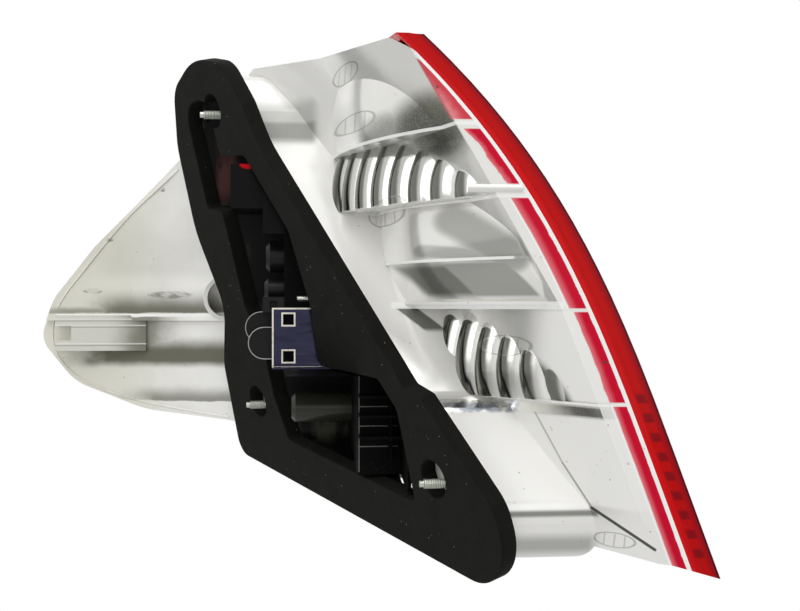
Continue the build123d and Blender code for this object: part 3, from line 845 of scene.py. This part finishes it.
def foamMesh():
    made = bmesh.new()
    made.from_mesh(nodes["gasket"].data)
    bmesh.ops.remove_doubles(made, verts=made.verts, dist=1e-6)
    bmesh.ops.dissolve_limit(made, angle_limit=math.radians(1.0), verts=made.verts, edges=made.edges)
    sharp = []
    for edge in made.edges:
        if len(edge.link_faces) == 2 and edge.calc_face_angle() > math.radians(50):
            sharp.append(edge)
    bmesh.ops.bevel(
        made, geom=sharp, offset=foamLook["edge"], segments=3, profile=0.5, affect="EDGES",
        clamp_overlap=True)
    bmesh.ops.triangulate(made, faces=made.faces)
    return storeMesh(made, "sealFoam")


seal = newPiece("sealFoam", foamMesh(), foam)
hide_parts("gasket")
print("seal made")


# Closed skin over rings of points
def skin(made, rings):
    for first, second in zip(rings, rings[1:]):
        for step in range(len(first)):
            after = (step + 1) % len(first)
            made.faces.new((first[step], first[after], second[after], second[step]))
    made.faces.new(rings[0])
    made.faces.new(rings[-1])


# Studs with a rolled thread
studLook = dict(
    places=[(0.0, 0.0, 0.0), (-0.131275, 0.131988, 0.228796), (-0.101739, 0.182728, 0.030855)],
    front=-0.0085,
    seat=0.012145,
    end=0.027145,
    radius=0.0030,
    depth=0.00042,
    pitch=0.0010,
    runOut=0.0009,
    dog=0.0021,
    dogLength=0.0025,
    dogEdge=0.0004,
    relief=0.0025,
    reliefLength=0.0052,
    root=0.0036,
    around=24,
    perTurn=8,
)


# Places along a stud, each with its radius and its share of the thread's depth
def studProfile():
    look = studLook
    front = look["front"]
    threadFrom = front + look["dogLength"]
    threadTo = look["seat"] - look["reliefLength"]
    rootFrom = look["seat"] + look["root"]
    profile = [
        (front, look["dog"] - look["dogEdge"], 0.0),
        (front + look["dogEdge"], look["dog"], 0.0),
        (threadFrom, look["dog"], 0.0),
    ]
    steps = int((threadTo - threadFrom) / look["pitch"] * look["perTurn"])
    for step in range(steps + 1):
        along = threadFrom + (threadTo - threadFrom) * step / steps
        fade = min(1.0, (along - threadFrom) / look["runOut"], (threadTo - along) / look["runOut"])
        profile.append((along, look["radius"], max(fade, 0.15)))
    profile += [(threadTo, look["relief"], 0.0), (rootFrom, look["relief"], 0.0)]
    profile += [(rootFrom, look["root"], 0.0), (look["end"], look["root"], 0.0)]
    return profile


def studMesh():
    made = bmesh.new()
    around = studLook["around"]
    for x, y, z in studLook["places"]:
        rings = []
        for along, radius, cut in studProfile():
            ring = []
            for step in range(around):
                turn = 2 * math.pi * step / around
                phase = along / studLook["pitch"] + step / around
                tooth = abs(2 * (phase - math.floor(phase)) - 1)
                out = radius - studLook["depth"] * tooth * cut
                ring.append(made.verts.new((x + along, y + out * math.cos(turn), z + out * math.sin(turn))))
            rings.append(ring)
        skin(made, rings)
    bmesh.ops.recalc_face_normals(made, faces=made.faces)
    return storeMesh(made, "threadedStuds")


studs = newPiece("threadedStuds", studMesh(), zinc)
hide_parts("mounting_studs")
print("studs made")


def bar(made, low, high):
    corners = [(x, y, z) for x in (low[0], high[0]) for y in (low[1], high[1]) for z in (low[2], high[2])]
    verts = [made.verts.new(corner) for corner in corners]
    for loop in ((0, 1, 3, 2), (4, 6, 7, 5), (0, 4, 5, 1), (2, 3, 7, 6), (0, 2, 6, 4), (1, 5, 7, 3)):
        made.faces.new([verts[corner] for corner in loop])


# Bright cut edges of the bracket and of its two windows
bracketLook = dict(
    x=(-0.092, -0.044),
    z=(0.0613, 0.100),
    face=0.097,
    windowX=(-0.085, -0.078),
    windowsFrom=(0.06525, 0.089),
    windowHigh=0.007,
    wide=0.0010,
    proud=0.00025,
)


def frameBars(made, x0, x1, z0, z1):
    wide = bracketLook["wide"]
    back = bracketLook["face"]
    front = back - bracketLook["proud"]
    bar(made, (x0, front, z0), (x1, back, z0 + wide))
    bar(made, (x0, front, z1 - wide), (x1, back, z1))
    bar(made, (x0, front, z0 + wide), (x0 + wide, back, z1 - wide))
    bar(made, (x1 - wide, front, z0 + wide), (x1, back, z1 - wide))


def bracketMesh():
    made = bmesh.new()
    wide = bracketLook["wide"]
    left, right = bracketLook["windowX"]
    frameBars(made, *bracketLook["x"], *bracketLook["z"])
    for low in bracketLook["windowsFrom"]:
        frameBars(made, left - wide, right + wide, low - wide, low + bracketLook["windowHigh"] + wide)
    bmesh.ops.recalc_face_normals(made, faces=made.faces)
    return storeMesh(made, "bracketEdges")


newPiece("bracketEdges", bracketMesh(), sheetEdge)

# Pale rims of the finger tabs: painted highlights where their edges catch the light
rimLook = dict(
    colour=(0.42, 0.42, 0.41),
    places=[(-0.099, 0.118, 0.087), (-0.097, 0.108, 0.077)],
    foot=-0.085,
    reach=0.0103,
    radius=0.00032,
    steps=24,
    sides=6,
)


def rimPath(x, y, z):
    reach = rimLook["reach"]
    path = [Vector((rimLook["foot"], y, z + reach))]
    for step in range(rimLook["steps"] + 1):
        turn = math.pi * step / rimLook["steps"]
        path.append(Vector((x - reach * math.sin(turn), y, z + reach * math.cos(turn))))
    path.append(Vector((rimLook["foot"], y, z - reach)))
    return path


def rimMesh():
    made = bmesh.new()
    side = Vector((0, 1, 0))
    for spot in rimLook["places"]:
        path = rimPath(*spot)
        rings = []
        for step, point in enumerate(path):
            ahead = (path[min(step + 1, len(path) - 1)] - path[max(step - 1, 0)]).normalized()
            outward = ahead.cross(side)
            ring = []
            for corner in range(rimLook["sides"]):
                turn = 2 * math.pi * corner / rimLook["sides"]
                off = side * math.cos(turn) + outward * math.sin(turn)
                ring.append(made.verts.new(point + off * rimLook["radius"]))
            rings.append(ring)
        skin(made, rings)
    bmesh.ops.recalc_face_normals(made, faces=made.faces)
    return storeMesh(made, "tabRimHighlights")


newPiece("tabRimHighlights", rimMesh(), plastic("tabRimHighlight", rimLook["colour"], 0.35))

# Pale edges on the carrier's face, painted highlights: one upright and three ribs
edgeLook = dict(
    colour=(0.16, 0.16, 0.15),
    face=0.0660,
    proud=0.0003,
    thick=0.0006,
    left=-0.0385,
    upright=(-0.002, 0.0575),
    ribs=[(0.0383, -0.0190), (0.0262, -0.0140), (0.0135, -0.0140)],
)


def edgeMesh():
    made = bmesh.new()
    back = edgeLook["face"]
    front = back - edgeLook["proud"]
    left = edgeLook["left"]
    right = left + edgeLook["thick"]
    low, high = edgeLook["upright"]
    bar(made, (left, front, low), (right, back, high))
    for z, end in edgeLook["ribs"]:
        bar(made, (right, front, z), (end, back, z + edgeLook["thick"]))
    bmesh.ops.recalc_face_normals(made, faces=made.faces)
    return storeMesh(made, "carrierEdgeHighlights")


newPiece("carrierEdgeHighlights", edgeMesh(), plastic("carrierEdgeHighlight", edgeLook["colour"], 0.3))
print("trims made")

# Camera, turned a little to the right
shot = dict(place=(-0.0908, -0.6785, 0.1015), turn=6.0, lens=54.0, sensor=36.0, near=0.01)
cameraData = bpy.data.cameras.new("shotCamera")
cameraData.lens = shot["lens"]
cameraData.sensor_width = shot["sensor"]
cameraData.clip_start = shot["near"]
camera = place("shotCamera", cameraData)
camera.location = shot["place"]
camera.rotation_euler = (math.radians(90), 0, math.radians(-shot["turn"]))
bpy.context.scene.camera = camera

# World: white where it is seen, a plain level of light elsewhere
studio = dict(
    fill=0.62,
    white=(1.0, 1.0, 1.0),
    floorTone=(0.85, 0.85, 0.85),
    floorLevel=-0.6,
    floorHalf=6.0,
)
world = bpy.data.worlds.new("studio")
bpy.context.scene.world = world
world.use_nodes = True
sky = Finish("studio", world.node_tree)
rays = ("Is Camera Ray", "Is Glossy Ray", "Is Transmission Ray")
seen = strongest([sky.node("ShaderNodeLightPath", {}, ray) for ray in rays])
backdrop = sky.first("BACKGROUND")
feed(backdrop.inputs["Color"], studio["white"])
feed(backdrop.inputs["Strength"], studio["fill"] + seen * (1.0 - studio["fill"]))

# Floor, white to the camera
half = studio["floorHalf"]
floorMesh = bpy.data.meshes.new("floor")
corners = [(-half, -half, 0), (half, -half, 0), (half, half, 0), (-half, half, 0)]
floorMesh.from_pydata(corners, [], [(0, 1, 2, 3)])
floor = place("floor", floorMesh)
floor.location.z = studio["floorLevel"]
pale = Finish("paleFloor", Base_Color=studio["floorTone"], Roughness=0.9)
glow = pale.node("ShaderNodeEmission", {}, Color=studio["white"], Strength=1.0)
toCamera = pale.node("ShaderNodeLightPath", {}, "Is Camera Ray")
onFloor = pale.node("ShaderNodeMixShader", {}, i0=toCamera, i1=Wire(pale.shader.outputs[0]), i2=glow)
feed(pale.first("OUTPUT_MATERIAL").inputs["Surface"], onFloor)
dress(floor, pale)

# Two soft lamps
lamps = [
    dict(name="topLamp", place=(-0.3, -0.6, 1.5), aim=(0, 0.1, 0.1), width=1.4, power=14),
    dict(name="leftLamp", place=(-1.5, -0.8, 0.6), aim=(-0.05, 0.1, 0.1), width=1.0, power=6),
]
for row in lamps:
    lampData = bpy.data.lights.new(row["name"], "AREA")
    lampData.size = row["width"]
    lampData.energy = row["power"]
    lamp = place(row["name"], lampData)
    lamp.location = row["place"]
    lamp.rotation_euler = (Vector(row["aim"]) - lamp.location).to_track_quat("-Z", "Y").to_euler()
bpy.context.scene.view_settings.view_transform = "Standard"
print("camera, floor and lamps set")
